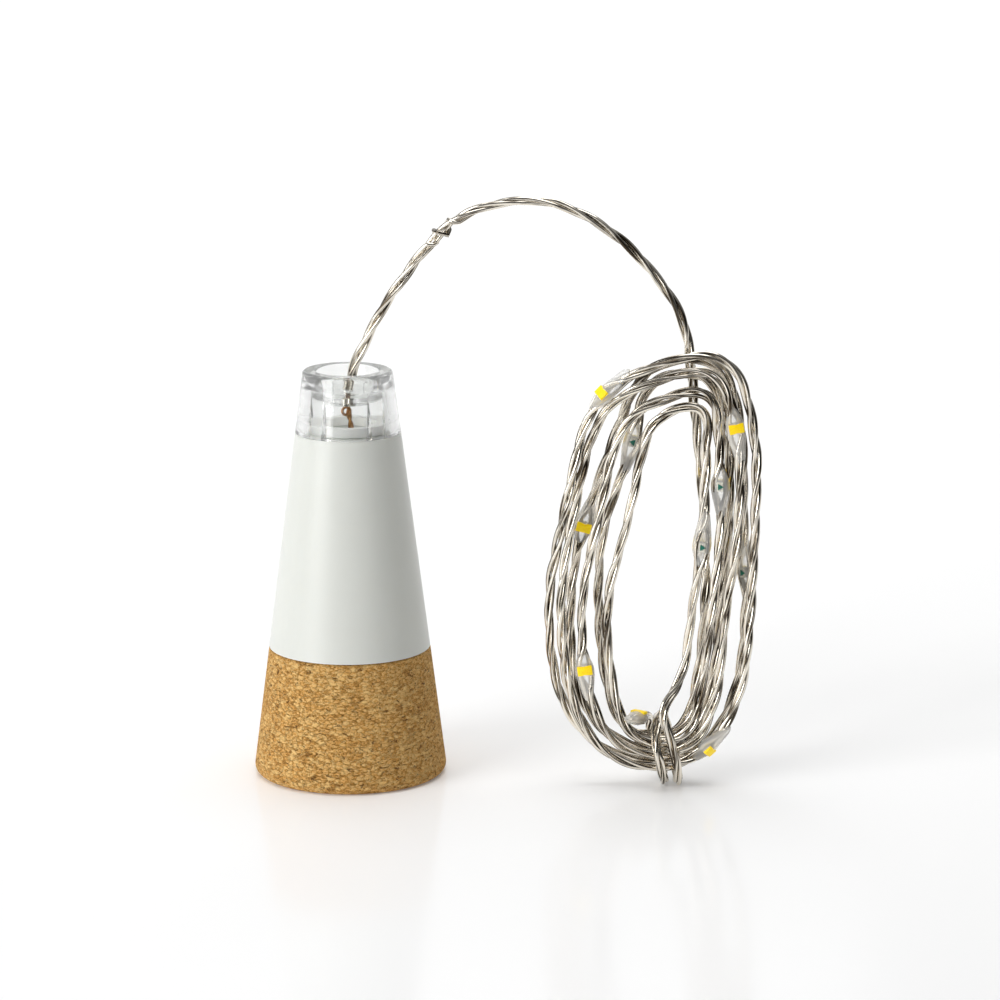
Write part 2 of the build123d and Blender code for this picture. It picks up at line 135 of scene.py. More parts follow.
# Camera: place, degrees that it looks down, and lens and sensor in millimetres
CAMERA_PLACE = (0.02165, -0.560, 0.166)
CAMERA_DIP = 12.68
CAMERA_LENS = 144.47
CAMERA_SENSOR = 36.0


def linear(hex_colour):
    """Linear RGBA of an sRGB hex colour."""
    values = [int(hex_colour[place:place + 2], 16) / 255 for place in (1, 3, 5)]
    return tuple(v / 12.92 if v <= 0.04045 else ((v + 0.055) / 1.055) ** 2.4 for v in values) + (1.0,)


def length_property(name, text, default):
    """Length that a user can change, in metres."""
    return FloatProperty(name=name, description=text, default=default, min=0.0, unit="LENGTH", subtype="DISTANCE",
                         precision=5)


def colour_property(name, text, default):
    """Colour that a user can change."""
    return FloatVectorProperty(name=name, description=text, default=linear(default), size=4, min=0.0, max=1.0,
                               subtype="COLOR")


class StringSizes(PropertyGroup):
    """Sizes of the wire string and its drops."""
    strand_diameter: length_property("Strand", "Thickness of one coated strand", 0.00066)
    lay: length_property("Lay", "Length in which the strands go once round the cord", 0.017)
    step: length_property("Step", "Distance between rings of the strands' mesh", 0.0005)
    drop_length: length_property("Drop length", "Length of a clear drop with its tails", 0.0078)
    drop_width: length_property("Drop width", "Width of a clear drop", 0.0027)
    sides: IntProperty(name="Sides", description="Sides of a strand's section", default=9, min=5, max=16)


class Finishes(PropertyGroup):
    """Colours of the surfaces that show most."""
    cork_light: colour_property("Cork light", "Pale grains of the cork", "#F0C983")
    cork_mid: colour_property("Cork", "Most of the cork's grains", "#D69C4F")
    cork_dark: colour_property("Cork dark", "Bark specks in the cork", "#5E3A1A")
    housing: colour_property("Housing", "White plastic of the body", "#DFE1DB")
    wire: colour_property("Wire", "Silver plating under its lacquer", "#EEE7DA")
    # Painted shade: its dark lines stand in for the shade between the fine wires and their dark reflections
    wire_painted_shade: colour_property("Wire shade", "Places where the plating has dulled", "#453C30")
    phosphor: colour_property("Phosphor", "Yellow of an unlit LED", "#FFE100")
    mark: colour_property("Mark", "Polarity mark on a chip's back", "#0E8068")


def add_node(tree, kind, inputs, stops=(), **settings):
    """One node with its settings, each input a value or the socket that feeds it."""
    node = tree.nodes.new(kind)
    for key, value in settings.items():
        setattr(node, key, value)
    for key, value in inputs.items():
        if isinstance(value, bpy.types.NodeSocket):
            tree.links.new(value, node.inputs[key])
        else:
            node.inputs[key].default_value = value
    if stops:
        ramp = node.color_ramp.elements
        while len(ramp) < len(stops):
            ramp.new(0.5)
        for element, (place, colour) in zip(ramp, stops):
            element.position = place
            element.color = colour
    return node


def new_material(name):
    """Empty node material with its output, and its tree."""
    material = bpy.data.materials.new(name)
    material.use_nodes = True
    material.node_tree.nodes.clear()
    return material, material.node_tree


def end_material(tree, shader):
    """Joins the last shader to the material's output."""
    add_node(tree, "ShaderNodeOutputMaterial", {"Surface": shader.outputs[0]})


def grey(value):
    """Grey of a given brightness."""
    return (value, value, value, 1.0)


def object_place(tree):
    """Place on a piece in its own coordinates."""
    return add_node(tree, "ShaderNodeTexCoord", {}).outputs["Object"]


def colour_ramp(tree, value, *stops):
    """Colour that passes through stops, each a place and a colour, as a value rises."""
    return add_node(tree, "ShaderNodeValToRGB", {"Fac": value}, stops=stops).outputs[0]


def blend(tree, share, first, second):
    """Blend of two colours. The sockets go by number, because the node has several of each name."""
    return add_node(tree, "ShaderNodeMix", {0: share, 6: first, 7: second}, data_type="RGBA").outputs[2]


def raised(tree, strength, depth, height):
    """Normal of a surface that a height raises by up to a depth."""
    return add_node(tree, "ShaderNodeBump", {"Strength": strength, "Distance": depth, "Height": height}).outputs[0]


def cork_material(finishes):
    """Ground agglomerate cork, turned on a lathe: matt tan crumbs with paler chips, dark bark specks, and painted
    shade in the cracks between the crumbs.
    """
    material, tree = new_material("agglomerate_cork")
    fibre, crumb, speck, warp = 0.55 * MM, 0.9 * MM, 1.0 * MM, 1.6 * MM
    place = object_place(tree)
    # Crumbs lie flat, so the pattern is squeezed along the stopper's height
    flat = add_node(tree, "ShaderNodeMapping", {"Vector": place, "Scale": (1.0, 1.0, 1.9)}).outputs[0]
    fibres = add_node(tree, "ShaderNodeTexNoise", {"Vector": flat, "Scale": 1 / fibre, "Detail": 5.0,
                                                  "Roughness": 0.72, "Distortion": 0.9})
    bent = add_node(tree, "ShaderNodeVectorMath", {0: fibres.outputs["Color"], 1: (warp,) * 3, 2: flat},
                    operation="MULTIPLY_ADD").outputs[0]
    crumbs = add_node(tree, "ShaderNodeTexVoronoi", {"Vector": bent, "Scale": 1 / crumb})
    cracks = add_node(tree, "ShaderNodeTexVoronoi", {"Vector": bent, "Scale": 1 / crumb}, feature="DISTANCE_TO_EDGE")
    bark = add_node(tree, "ShaderNodeTexNoise", {"Vector": flat, "Scale": 1 / speck, "Detail": 5.0,
                                                "Roughness": 0.7, "Distortion": 0.8})
    tone = blend(tree, 0.14, fibres.outputs[0], crumbs.outputs["Color"])
    deep = tuple(0.36 * v for v in finishes.cork_mid[:3]) + (1.0,)
    body = colour_ramp(tree, tone, (0.34, deep), (0.46, finishes.cork_mid[:]), (0.58, finishes.cork_light[:]))
    # Painted shade: the cracks between the crumbs, which the bump sinks, are darkened; the bark specks are the cork's
    # own colour
    pits = colour_ramp(tree, cracks.outputs["Distance"], (0.0, grey(0.45)), (0.05, grey(0.0)))
    specks = colour_ramp(tree, bark.outputs[0], (0.35, grey(0.9)), (0.41, grey(0.0)))
    dark = add_node(tree, "ShaderNodeMath", {0: pits, 1: specks}, operation="MAXIMUM").outputs[0]
    colour = blend(tree, dark, body, finishes.cork_dark[:])
    height = add_node(tree, "ShaderNodeMath", {0: fibres.outputs[0], 1: dark}, operation="SUBTRACT").outputs[0]
    bump = raised(tree, 0.8, 0.25 * MM, height)
    shader = add_node(tree, "ShaderNodeBsdfPrincipled", {
        "Base Color": colour, "Roughness": 0.86, "Specular IOR Level": 0.25, "Normal": bump})
    end_material(tree, shader)
    return material


def moulded_material(name, colour, roughness, grain, subsurface=0.0, painted_light_above=None):
    """Injection-moulded plastic: even colour with a faint cloud in it and a fine spark-eroded grain. Above a height
    where a clear piece covers it, it has painted light: it is whiter and glows a little, in place of the light that
    the piece gathers."""
    material, tree = new_material(name)
    place = object_place(tree)
    clouds = add_node(tree, "ShaderNodeTexNoise", {"Vector": place, "Scale": 1 / (9 * MM), "Detail": 2.0})
    darker = tuple(0.985 * v for v in colour[:3]) + (1.0,)
    tone = colour_ramp(tree, clouds.outputs[0], (0.35, darker), (0.60, tuple(colour)))
    covered, glow = grey(0.0), 0.0
    if painted_light_above is not None:
        height = add_node(tree, "ShaderNodeSeparateXYZ", {"Vector": place}).outputs["Z"]
        covered = add_node(tree, "ShaderNodeMapRange", {"Value": height, "From Min": painted_light_above,
                                                       "From Max": painted_light_above + 0.1 * MM}).outputs[0]
        glow = 0.16
        # Painted light: under the clear piece the white is whiter and glows, for the light that comes in through it
        tone = blend(tree, covered, tone, linear("#FDFDF9"))
    fine = add_node(tree, "ShaderNodeTexNoise", {"Vector": place, "Scale": 1 / grain, "Detail": 2.0})
    bump = raised(tree, 0.12, 0.05 * MM, fine.outputs[0])
    shader = add_node(tree, "ShaderNodeBsdfPrincipled", {
        "Base Color": tone, "Roughness": roughness, "IOR": 1.53, "Subsurface Weight": subsurface,
        "Subsurface Radius": (1.0, 0.9, 0.8), "Subsurface Scale": 1.0 * MM, "Emission Color": covered,
        "Emission Strength": glow, "Normal": bump})
    end_material(tree, shader)
    return material


def clear_material(name, colour, ior, ripple, strength, roughness, clarity, body):
    """Clear plastic or resin: glassy, with slow ripples from the way that it set, cloudy below full clarity and
    thin to the light below a full body."""
    material, tree = new_material(name)
    place = object_place(tree)
    waves = add_node(tree, "ShaderNodeTexNoise", {"Vector": place, "Scale": 1 / ripple, "Detail": 2.0})
    bump = raised(tree, strength, 0.1 * MM, waves.outputs[0])
    shader = add_node(tree, "ShaderNodeBsdfPrincipled", {
        "Base Color": colour, "Roughness": roughness, "IOR": ior, "Transmission Weight": clarity,
        "Alpha": body, "Normal": bump})
    end_material(tree, shader)
    return material


def metal_material(name, colour, shade, roughness, patch, coat=0.0):
    """Plated or drawn metal: bright, with duller patches that also reflect less sharply."""
    material, tree = new_material(name)
    place = object_place(tree)
    patches = add_node(tree, "ShaderNodeTexNoise", {"Vector": place, "Scale": 1 / patch, "Detail": 4.0,
                                                   "Roughness": 0.6})
    tone = colour_ramp(tree, patches.outputs[0], (0.38, shade), (0.62, colour))
    gloss = add_node(tree, "ShaderNodeMapRange", {"Value": patches.outputs[0], "To Min": roughness * 1.5,
                                                 "To Max": roughness * 0.7}).outputs[0]
    shader = add_node(tree, "ShaderNodeBsdfPrincipled", {
        "Base Color": tone, "Metallic": 1.0, "Roughness": gloss, "Coat Weight": coat, "Coat Roughness": 0.06})
    end_material(tree, shader)
    return material


def wire_material(finishes):
    """Silver-plated copper, drawn and lacquered: champagne shine split by dark lines of painted shade along it."""
    material, tree = new_material("lacquered_silver_wire")
    along = add_node(tree, "ShaderNodeUVMap", {}, uv_map="along").outputs[0]
    # About six lines round a strand, each some millimetres long
    drawn = add_node(tree, "ShaderNodeMapping", {"Vector": along, "Scale": (6.0, 1 / (6 * MM), 1.0)}).outputs[0]
    lines = add_node(tree, "ShaderNodeTexNoise", {"Vector": drawn, "Scale": 1.0, "Detail": 2.0},
                     noise_dimensions="2D").outputs[0]
    # Painted shade: dark lines for the shade between the fine wires and their dark reflections
    tone = colour_ramp(tree, lines, (0.37, finishes.wire_painted_shade[:]), (0.50, finishes.wire[:]))
    bump = raised(tree, 0.5, 0.05 * MM, lines)
    shader = add_node(tree, "ShaderNodeBsdfPrincipled", {
        "Base Color": tone, "Metallic": 1.0, "Roughness": 0.13, "Normal": bump})
    end_material(tree, shader)
    return material


def turned_metal_material():
    """Face-turned steel: fine rings about the stopper's axis that stretch the highlights."""
    material, tree = new_material("turned_steel")
    place = object_place(tree)
    # Real tool marks are about 0.05 mm apart; this pitch still shows in a render
    pitch = 0.18 * MM
    rings = add_node(tree, "ShaderNodeTexWave", {"Vector": place, "Scale": 1 / pitch / (2 * math.pi), "Distortion": 0.4,
                                                "Detail": 2.0}, wave_type="RINGS", rings_direction="Z").outputs[1]
    tone = colour_ramp(tree, rings, (0.0, linear("#A9A8A4")), (1.0, linear("#CFCECA")))
    bump = raised(tree, 0.2, 0.05 * MM, rings)
    shader = add_node(tree, "ShaderNodeBsdfPrincipled", {
        "Base Color": tone, "Metallic": 1.0, "Roughness": 0.28, "Normal": bump})
    end_material(tree, shader)
    return material


def grainy_material(name, colour, shade, grain, roughness, glow=0.0):
    """Fired, printed or foamed surface: a matt colour broken up by grain. A glow, where given, is painted light."""
    material, tree = new_material(name)
    place = object_place(tree)
    grains = add_node(tree, "ShaderNodeTexVoronoi", {"Vector": place, "Scale": 1 / grain}).outputs["Distance"]
    tone = colour_ramp(tree, grains, (0.2, colour), (0.75, shade))
    bump = raised(tree, 0.3, 0.05 * MM, grains)
    shader = add_node(tree, "ShaderNodeBsdfPrincipled", {
        "Base Color": tone, "Roughness": roughness, "Emission Color": colour, "Emission Strength": glow,
        "Normal": bump})
    end_material(tree, shader)
    return material


def board_material():
    """Printed circuit board: green solder mask over tracks that show as paler lines."""
    material, tree = new_material("solder_mask")
    place = object_place(tree)
    tracks = add_node(tree, "ShaderNodeTexBrick", {
        "Vector": place, "Color1": linear("#0F5A34"), "Color2": linear("#0C4F2D"), "Mortar": linear("#1D7A4A"),
        "Scale": 1.0, "Mortar Size": 0.12 * MM, "Brick Width": 3.0 * MM, "Row Height": 1.2 * MM})
    shader = add_node(tree, "ShaderNodeBsdfPrincipled", {
        "Base Color": tracks.outputs[0], "Roughness": 0.35, "IOR": 1.5})
    end_material(tree, shader)
    return material


def deselect_all():
    """Leaves nothing selected, so that an operator acts on new pieces alone."""
    if bpy.context.object and bpy.context.object.mode != "OBJECT":
        bpy.ops.object.mode_set(mode="OBJECT")
    bpy.ops.object.select_all(action="DESELECT")


def select_points(piece, test):
    """Selects, in edit mode, the points whose place passes a test."""
    bpy.ops.mesh.select_mode(type="VERT")
    bpy.ops.mesh.select_all(action="DESELECT")
    bpy.ops.object.mode_set(mode="OBJECT")
    for vertex in piece.data.vertices:
        vertex.select = test(vertex.co)
    bpy.ops.object.mode_set(mode="EDIT")


def settle(piece):
    """Puts a piece's place in its mesh, so that its object sits at the origin."""
    deselect_all()
    piece.select_set(True)
    bpy.context.view_layer.objects.active = piece
    bpy.ops.object.transform_apply(location=True, rotation=True, scale=True)


def apply_bevel(piece, width, segments, angle):
    """Rounds the edges that are sharper than an angle."""
    bevel = piece.modifiers.new("rounding", "BEVEL")
    bevel.width = width
    bevel.segments = segments
    bevel.limit_method = "ANGLE"
    bevel.angle_limit = math.radians(angle)
    bpy.context.view_layer.objects.active = piece
    bpy.ops.object.modifier_apply(modifier=bevel.name)


def smooth(piece, angle=35):
    """Smooth shading, with the edges that are sharper than an angle kept."""
    deselect_all()
    piece.select_set(True)
    bpy.context.view_layer.objects.active = piece
    bpy.ops.object.shade_smooth_by_angle(angle=math.radians(angle))


def give(piece, *materials):
    """Sets a piece's material slots."""
    piece.data.materials.clear()
    for material in materials:
        piece.data.materials.append(material)


def route_points(control, resolution):
    """Points read in order from one open NURBS spline."""
    curve = bpy.data.curves.new("route", "CURVE")
    curve.dimensions = "3D"
    curve.resolution_u = resolution
    spline = curve.splines.new("NURBS")
    spline.points.add(len(control) - 1)
    for point, place in zip(spline.points, control):
        point.co = (*place, 1.0)
    spline.order_u = 3
    spline.use_endpoint_u = True
    holder = bpy.data.objects.new("route", curve)
    mesh = bpy.data.meshes.new_from_object(holder)
    points = [vertex.co.copy() for vertex in mesh.vertices]
    bpy.data.objects.remove(holder)
    bpy.data.curves.remove(curve)
    bpy.data.meshes.remove(mesh)
    return points


def even_steps(points, step):
    """Points a fixed step apart along a line of points."""
    placed = [points[0]]
    carry = step
    for here, there in zip(points, points[1:]):
        run = (there - here).length
        while run > 0 and carry <= run:
            placed.append(here.lerp(there, carry / run))
            carry += step
        carry -= run
    return placed


def carried_frames(points):
    """Way of travel and two side directions at each point, carried along without twist."""
    ways = []
    for number in range(len(points)):
        before = points[max(0, number - 1)]
        after = points[min(len(points) - 1, number + 1)]
        ways.append((after - before).normalized())
    side = ways[0].orthogonal().normalized()
    frames = []
    for way in ways:
        side = (side - way * side.dot(way)).normalized()
        frames.append((way, side, way.cross(side)))
    return frames


def tube_mesh(name, lines, radius, sides, step):
    """Mesh of round strands that follow lines of points, closed at both ends, with a UV map round and along them."""
    vertices = []
    faces = []
    along = []
    for line in lines:
        first = len(vertices)
        for point, (way, side, other) in zip(line, carried_frames(line)):
            for number in range(sides):
                angle = 2 * math.pi * number / sides
                vertices.append(point + (side * math.cos(angle) + other * math.sin(angle)) * radius)
        for ring in range(len(line) - 1):
            low = first + ring * sides
            for number in range(sides):
                after = (number + 1) % sides
                faces.append((low + number, low + after, low + sides + after, low + sides + number))
                for right, up in ((0, 0), (1, 0), (1, 1), (0, 1)):
                    along += [(number + right) / sides, (ring + up) * step]
        faces.append(tuple(range(first + sides - 1, first - 1, -1)))
        last = first + (len(line) - 1) * sides
        faces.append(tuple(range(last, last + sides)))
        along += [0.0] * 4 * sides
    mesh = bpy.data.meshes.new(name)
    mesh.from_pydata(vertices, [], faces)
    mesh.uv_layers.new(name="along").data.foreach_set("uv", along)
    mesh.polygons.foreach_set("use_smooth", [True] * len(mesh.polygons))
    mesh.update()
    piece = bpy.data.objects.new(name, mesh)
    bpy.context.scene.collection.objects.link(piece)
    return piece


def loop_station(turn, station):
    """Place and way of travel at one station of one turn of the hank."""
    share, x, z, gap, (step_x, step_z), (way_x, way_z), (front_x, front_z, front_turn) = station
    position = turn + share
    loop = min(position, HANK_TURNS - position)
    stray = STRAY_SHARE * gap * math.sin(position * STRAY_RATE + STRAY_PHASE)
    step = ((CORD + gap) * loop + stray) / math.hypot(step_x, step_z)
    climb = min(1, max(0, (position - CLIMB[0]) / (CLIMB[1] - CLIMB[0])))
    y = HANK_MIDDLE + LAYER_STEP * (0.5 - climb)
    heading = math.atan2(way_x, way_z) + math.radians(front_turn) * climb
    place = Vector((x + step_x * step + front_x * climb, y, z + step_z * step + front_z * climb))
    return place, Vector((math.sin(heading), 0, math.cos(heading)))


def string_control():
    """Control points of the whole string: the lead, two for each stretch of a turn, and the tie."""
    control = [Vector(place) for place in LEAD_ROUTE]
    line = [(control[-1], (control[-1] - control[-2]).normalized())]
    for turn in range(HANK_TURNS + 1):
        for station in STATIONS:
            if HANK_START_TURN <= turn + station[0] <= HANK_TURNS + HANK_START_TURN:
                line.append(loop_station(turn, station))
    line += [(Vector(place), Vector(way).normalized()) for place, way in TIE_ROUTE]
    for number, ((start, start_way), (end, end_way)) in enumerate(zip(line, line[1:])):
        reach = CONTROL_SHARE * (end - start).length
        sway = Vector((math.sin(number * 2.4), math.sin(number * 1.7 + 1), 0)) * SWAY
        control += [start + start_way * reach + sway, end - end_way * reach - sway]
    last, way = line[-1]
    return control + [last, last + way * CORD]


def middle(node):
    """Middle of a CAD node's box."""
    low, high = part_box(node)
    return (low + high) / 2


def drop_places(points, frames):
    """Place along the string, way of travel and facing of each LED drop, from the CAD's solids."""
    places = []
    for number in LED_NUMBERS:
        centre = middle(f"led_drop_{number:02d}")
        facing = (middle(f"led_lens_{number:02d}") - middle(f"led_chip_{number:02d}")).normalized()
        near = min(range(len(points)), key=lambda index: (points[index] - centre).length_squared)
        way = frames[near][0]
        facing = (facing - way * facing.dot(way)).normalized()
        places.append((near, points[near], way, facing))
    return places


def strand_lines(points, frames, places, sizes):
    """Lines of the three twisted strands, which part behind the chip inside each drop."""
    step = sizes.step
    count = 3
    offset = sizes.strand_diameter / math.sqrt(3)
    marks = []
    for near, _, way, facing in sorted(places, key=lambda place: place[0]):
        lateral = way.cross(facing)
        _, side, other = frames[near]
        marks.append((near, math.atan2(lateral.dot(other), lateral.dot(side)), lateral, facing))
    # The twist between two drops is eased so that one strand lies beside the chip at each
    angles = [0.0] * len(points)
    third = 2 * math.pi / count
    rate = 2 * math.pi * step / sizes.lay
    start, angle = 0, 0.0
    for near, target, _, _ in marks + [(len(points) - 1, None, None, None)]:
        turn = rate * (near - start)
        if target is not None:
            turn += (target - angle - turn + third / 2) % third - third / 2
        for index in range(start, near + 1):
            angles[index] = angle + turn * (index - start) / max(1, near - start)
        start, angle = near, angle + turn
    half = sizes.drop_length / 2
    spread = 0.75 * MM
    sunk = 0.3 * MM
    # The lay is loose: evenly, in a short wave of each strand's own and in a long one that all share
    even, (short, short_run), (long, long_run) = 1.10, (0.16, 4.1 * MM), (0.12, 9.7 * MM)
    snarl_turn, snarl_swell = 4 * math.pi, 4.4
    lines = []
    for number in range(count):
        line = []
        for index, (point, (way, side, other)) in enumerate(zip(points, frames)):
            run = index * step
            loose = offset * (even + short * math.sin(run / short_run + number) + long * math.sin(run / long_run))
            turned_by = angles[index] + number * third
            if number == 0:
                # One strand has snarled round the others on the arch
                share = min(1, max(0, (run - SNARL[0]) / (SNARL[1] - SNARL[0])))
                turned_by += snarl_turn * share
                loose *= 1 + snarl_swell * share * (1 - share)
            place = (side * math.cos(turned_by) + other * math.sin(turned_by)) * loose
            for near, _, lateral, facing in marks:
                share = 1 - abs(index - near) * step / half
                if share > 0:
                    share = share * share * (3 - 2 * share)
                    at_chip = angles[near] + number * third
                    _, near_side, near_other = frames[near]
                    aim = (near_side * math.cos(at_chip) + near_other * math.sin(at_chip)).dot(lateral)
                    across = spread if aim > 0 else -spread
                    place += lateral * (across - place.dot(lateral)) * share - facing * sunk * share
            line.append(point + place)
        lines.append(line)
    return lines


def model_drop(sizes):
    """One clear drop about the Z axis, the chip's side towards +X: a ball drawn out into a long and a short tail."""
    deselect_all()
    rings = 26
    bpy.ops.mesh.primitive_uv_sphere_add(segments=28, ring_count=rings, radius=1.0)
    piece = bpy.context.object
    half = sizes.drop_length / 2
    wide = sizes.drop_width / 2
    tail = 0.76 * MM
    swell_power, end_power = 2.6, 12
    bpy.ops.object.mode_set(mode="EDIT")
    bpy.ops.mesh.select_all(action="SELECT")
    bpy.ops.transform.resize(value=(wide, wide, half), center_override=(0, 0, 0))
    levels = sorted({round(math.cos(math.pi * number / rings), 6) for number in range(1, rings)})
    for level in levels:
        now = wide * math.sqrt(1 - level * level)
        swell = (1 - level * level) ** swell_power
        aim = tail * (1 - level ** end_power) + (wide - tail) * swell
        select_points(piece, lambda co: abs(co.z - level * half) < 1e-6)
        bpy.ops.transform.resize(value=(aim / now, aim / now, 1), center_override=(0, 0, level * half))
    for upper, reach in ((True, 1.28), (False, 0.72)):
        select_points(piece, lambda co: (co.z > 0) == upper)
        bpy.ops.transform.resize(value=(1, 1, reach), center_override=(0, 0, 0))
    # Flat in front of and behind the chip, so that phosphor and mark lie at the surface
    for front, share in ((True, 0.72), (False, 0.80)):
        select_points(piece, lambda co: (co.x > 0) == front)
        bpy.ops.transform.resize(value=(share, 1, 1), center_override=(0, 0, 0))
    bpy.ops.object.mode_set(mode="OBJECT")
    smooth(piece, 60)
    return piece


def model_chip():
    """One LED chip as in the drop: pale ceramic base, domed phosphor on its face and a mark on its back."""
    deselect_all()
    pieces = []
    length, rounding, inset = 1.35 * MM, 0.06 * MM, 0.2 * MM
    mark_place, mark_radius, mark_depth = -1.08 * MM, 0.55 * MM, 0.06 * MM
    # Back, front, width and swell of the base and of the phosphor, in millimetres
    for low, high, wide, swell in ((-1.05, 0.55, 0.9, 0.0), (0.55, 0.92, 2.1, 0.10)):
        bpy.ops.mesh.primitive_cube_add(size=1.0, location=((low + high) / 2 * MM, 0, 0))
        block = bpy.context.object
        block.scale = ((high - low) * MM, wide * MM, length)
        settle(block)
        bpy.ops.object.mode_set(mode="EDIT")
        bpy.ops.mesh.select_all(action="SELECT")
        bpy.ops.mesh.bevel(offset=rounding, segments=2, affect="EDGES")
        if swell:
            bpy.ops.mesh.select_mode(type="FACE")
            bpy.ops.mesh.select_all(action="DESELECT")
            bpy.ops.object.mode_set(mode="OBJECT")
            for face in block.data.polygons:
                face.select = face.normal.x > 0.99
            bpy.ops.object.mode_set(mode="EDIT")
            bpy.ops.mesh.inset(thickness=inset)
            bpy.ops.transform.translate(value=(swell * MM, 0, 0))
        bpy.ops.object.mode_set(mode="OBJECT")
        pieces.append(block)
    bpy.ops.mesh.primitive_cone_add(vertices=3, radius1=mark_radius, radius2=mark_radius, depth=mark_depth,
                                    location=(mark_place, 0, 0), rotation=(0, math.pi / 2, 0))
    mark = bpy.context.object
    settle(mark)
    apply_bevel(mark, 0.02 * MM, 1, 40)
    return pieces + [mark]


def placed_copy(model, name, place, way, facing, stretch):
    """Copy of a model with its own mesh, its Z axis along the string and its X axis the way the chip faces."""
    piece = bpy.data.objects.new(name, model.data.copy())
    bpy.context.scene.collection.objects.link(piece)
    across = way.cross(facing)
    turn = Matrix((facing, across, way)).transposed().to_4x4()
    piece.data.transform(Matrix.Translation(place) @ turn @ Matrix.Diagonal((1, 1, stretch, 1)))
    return piece


def join(pieces, name):
    """Joins pieces into the first and names it."""
    deselect_all()
    for piece in pieces:
        piece.select_set(True)
    bpy.context.view_layer.objects.active = pieces[0]
    bpy.ops.object.join()
    pieces[0].name = name
    return pieces[0]


class BOTTLELIGHT_OT_string(Operator):
    """Makes the twisted wire string with its LED drops and chips"""
    bl_idname = "bottle_light.wire_string"
    bl_label = "Wire string"

    def execute(self, context):
        sizes = context.scene.bottle_string
        finishes = context.scene.bottle_finishes
        points = even_steps(route_points(string_control(), 24), sizes.step)
        frames = carried_frames(points)
        places = drop_places(points, frames)
        # The wire ends inside the last drop
        end = max(place[0] for place in places) + round(WIRE_END / sizes.step)
        points, frames = points[:end], frames[:end]
        string = tube_mesh("wire_string", strand_lines(points, frames, places, sizes), sizes.strand_diameter / 2,
                           sizes.sides, sizes.step)
        give(string, wire_material(finishes))
        # Hand-dropped epoxy: glassy, a little cloudy and uneven
        epoxy = clear_material("clear_epoxy", linear("#FFFFFD"), ior=1.42, ripple=0.9 * MM, strength=0.25,
                               roughness=0.05, clarity=0.62, body=0.76)
        base = grainy_material("chip_ceramic", linear("#EFEDE2"), linear("#CFCBBB"), grain=0.2 * MM, roughness=0.45)
        # The unlit phosphor glows a little: painted light that brightens its yellow
        phosphor = grainy_material("led_phosphor", finishes.phosphor[:], linear("#F4C400"), grain=0.12 * MM,
                                   roughness=0.5, glow=0.25)
        mark = grainy_material("chip_mark_ink", finishes.mark[:], linear("#0A5A4C"), grain=0.15 * MM,
                               roughness=0.4)
        drop_model = model_drop(sizes)
        chip_parts = model_chip()
        for part, material in zip(chip_parts, (base, phosphor, mark)):
            give(part, material)
        chip_model = join(chip_parts, "chip_model")
        smooth(chip_model, 30)
        give(drop_model, epoxy)
        for number, (_, place, way, facing) in zip(LED_NUMBERS, places):
            # No two drops are quite as long
            stretch = 1 + 0.10 * math.sin(number * 2.3)
            drop = placed_copy(drop_model, f"clear_drop_{number:02d}", place, way * (-1) ** number, facing, stretch)
            chip = placed_copy(chip_model, f"chip_{number:02d}", place, way, facing, 1.0)
            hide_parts(f"led_drop_{number:02d}")
            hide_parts(f"led_chip_{number:02d}", f"led_lens_{number:02d}")
            for piece in (drop, chip):
                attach(piece, "light_unit")
        bpy.data.objects.remove(drop_model)
        bpy.data.objects.remove(chip_model)
        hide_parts("string_lead", "string_hank")
        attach(string, "light_unit")
        return {"FINISHED"}


class BOTTLELIGHT_OT_cork_cap(Operator):
    """Finishes the cork cap: cork sleeve, liner, touch disc and contact leaf"""
    bl_idname = "bottle_light.cork_cap"
    bl_label = "Cork cap"

    def execute(self, context):
        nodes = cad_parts
        give(nodes["cork_sleeve"], cork_material(context.scene.bottle_finishes))
        give(nodes["cap_liner"], moulded_material("black_polypropylene", linear("#1C1C1E"), roughness=0.45,
                                                  grain=0.25 * MM))
        give(nodes["touch_disc"], turned_metal_material())
        give(nodes["contact_leaf"], metal_material("nickel_spring_strip", linear("#D8D2C2"), linear("#B5AE9C"),
                                                   roughness=0.22, patch=1.5 * MM))
        return {"FINISHED"}


class BOTTLELIGHT_OT_housing(Operator):
    """Finishes the white housing and its end plate"""
    bl_idname = "bottle_light.housing"
    bl_label = "Housing"

    def execute(self, context):
        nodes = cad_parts
        white = context.scene.bottle_finishes.housing[:]
        # Above the clear tip's foot the white has painted light: it is whiter and glows a little
        give(nodes["housing"], moulded_material("satin_white_abs", white, roughness=0.34, grain=0.3 * MM,
                                                subsurface=0.15, painted_light_above=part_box("tip_lens")[0].z))
        give(nodes["end_plate"], moulded_material("matt_white_abs", white, roughness=0.5, grain=0.3 * MM))
        return {"FINISHED"}


class BOTTLELIGHT_OT_plug(Operator):
    """Finishes the charging plug"""
    bl_idname = "bottle_light.plug"
    bl_label = "Charging plug"

    def execute(self, context):
        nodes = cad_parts
        give(nodes["plug_shell"], metal_material("nickel_plated_steel", linear("#D3D4D6"), linear("#C6C7CA"),
                                                 roughness=0.2, patch=2.5 * MM))
        give(nodes["plug_tongue"], moulded_material("white_nylon", linear("#E9E7E0"), roughness=0.5, grain=0.2 * MM))
        give(nodes["plug_contacts"], metal_material("gold_plating", linear("#E8C46A"), linear("#C79B45"),
                                                    roughness=0.18, patch=1.0 * MM))
        return {"FINISHED"}


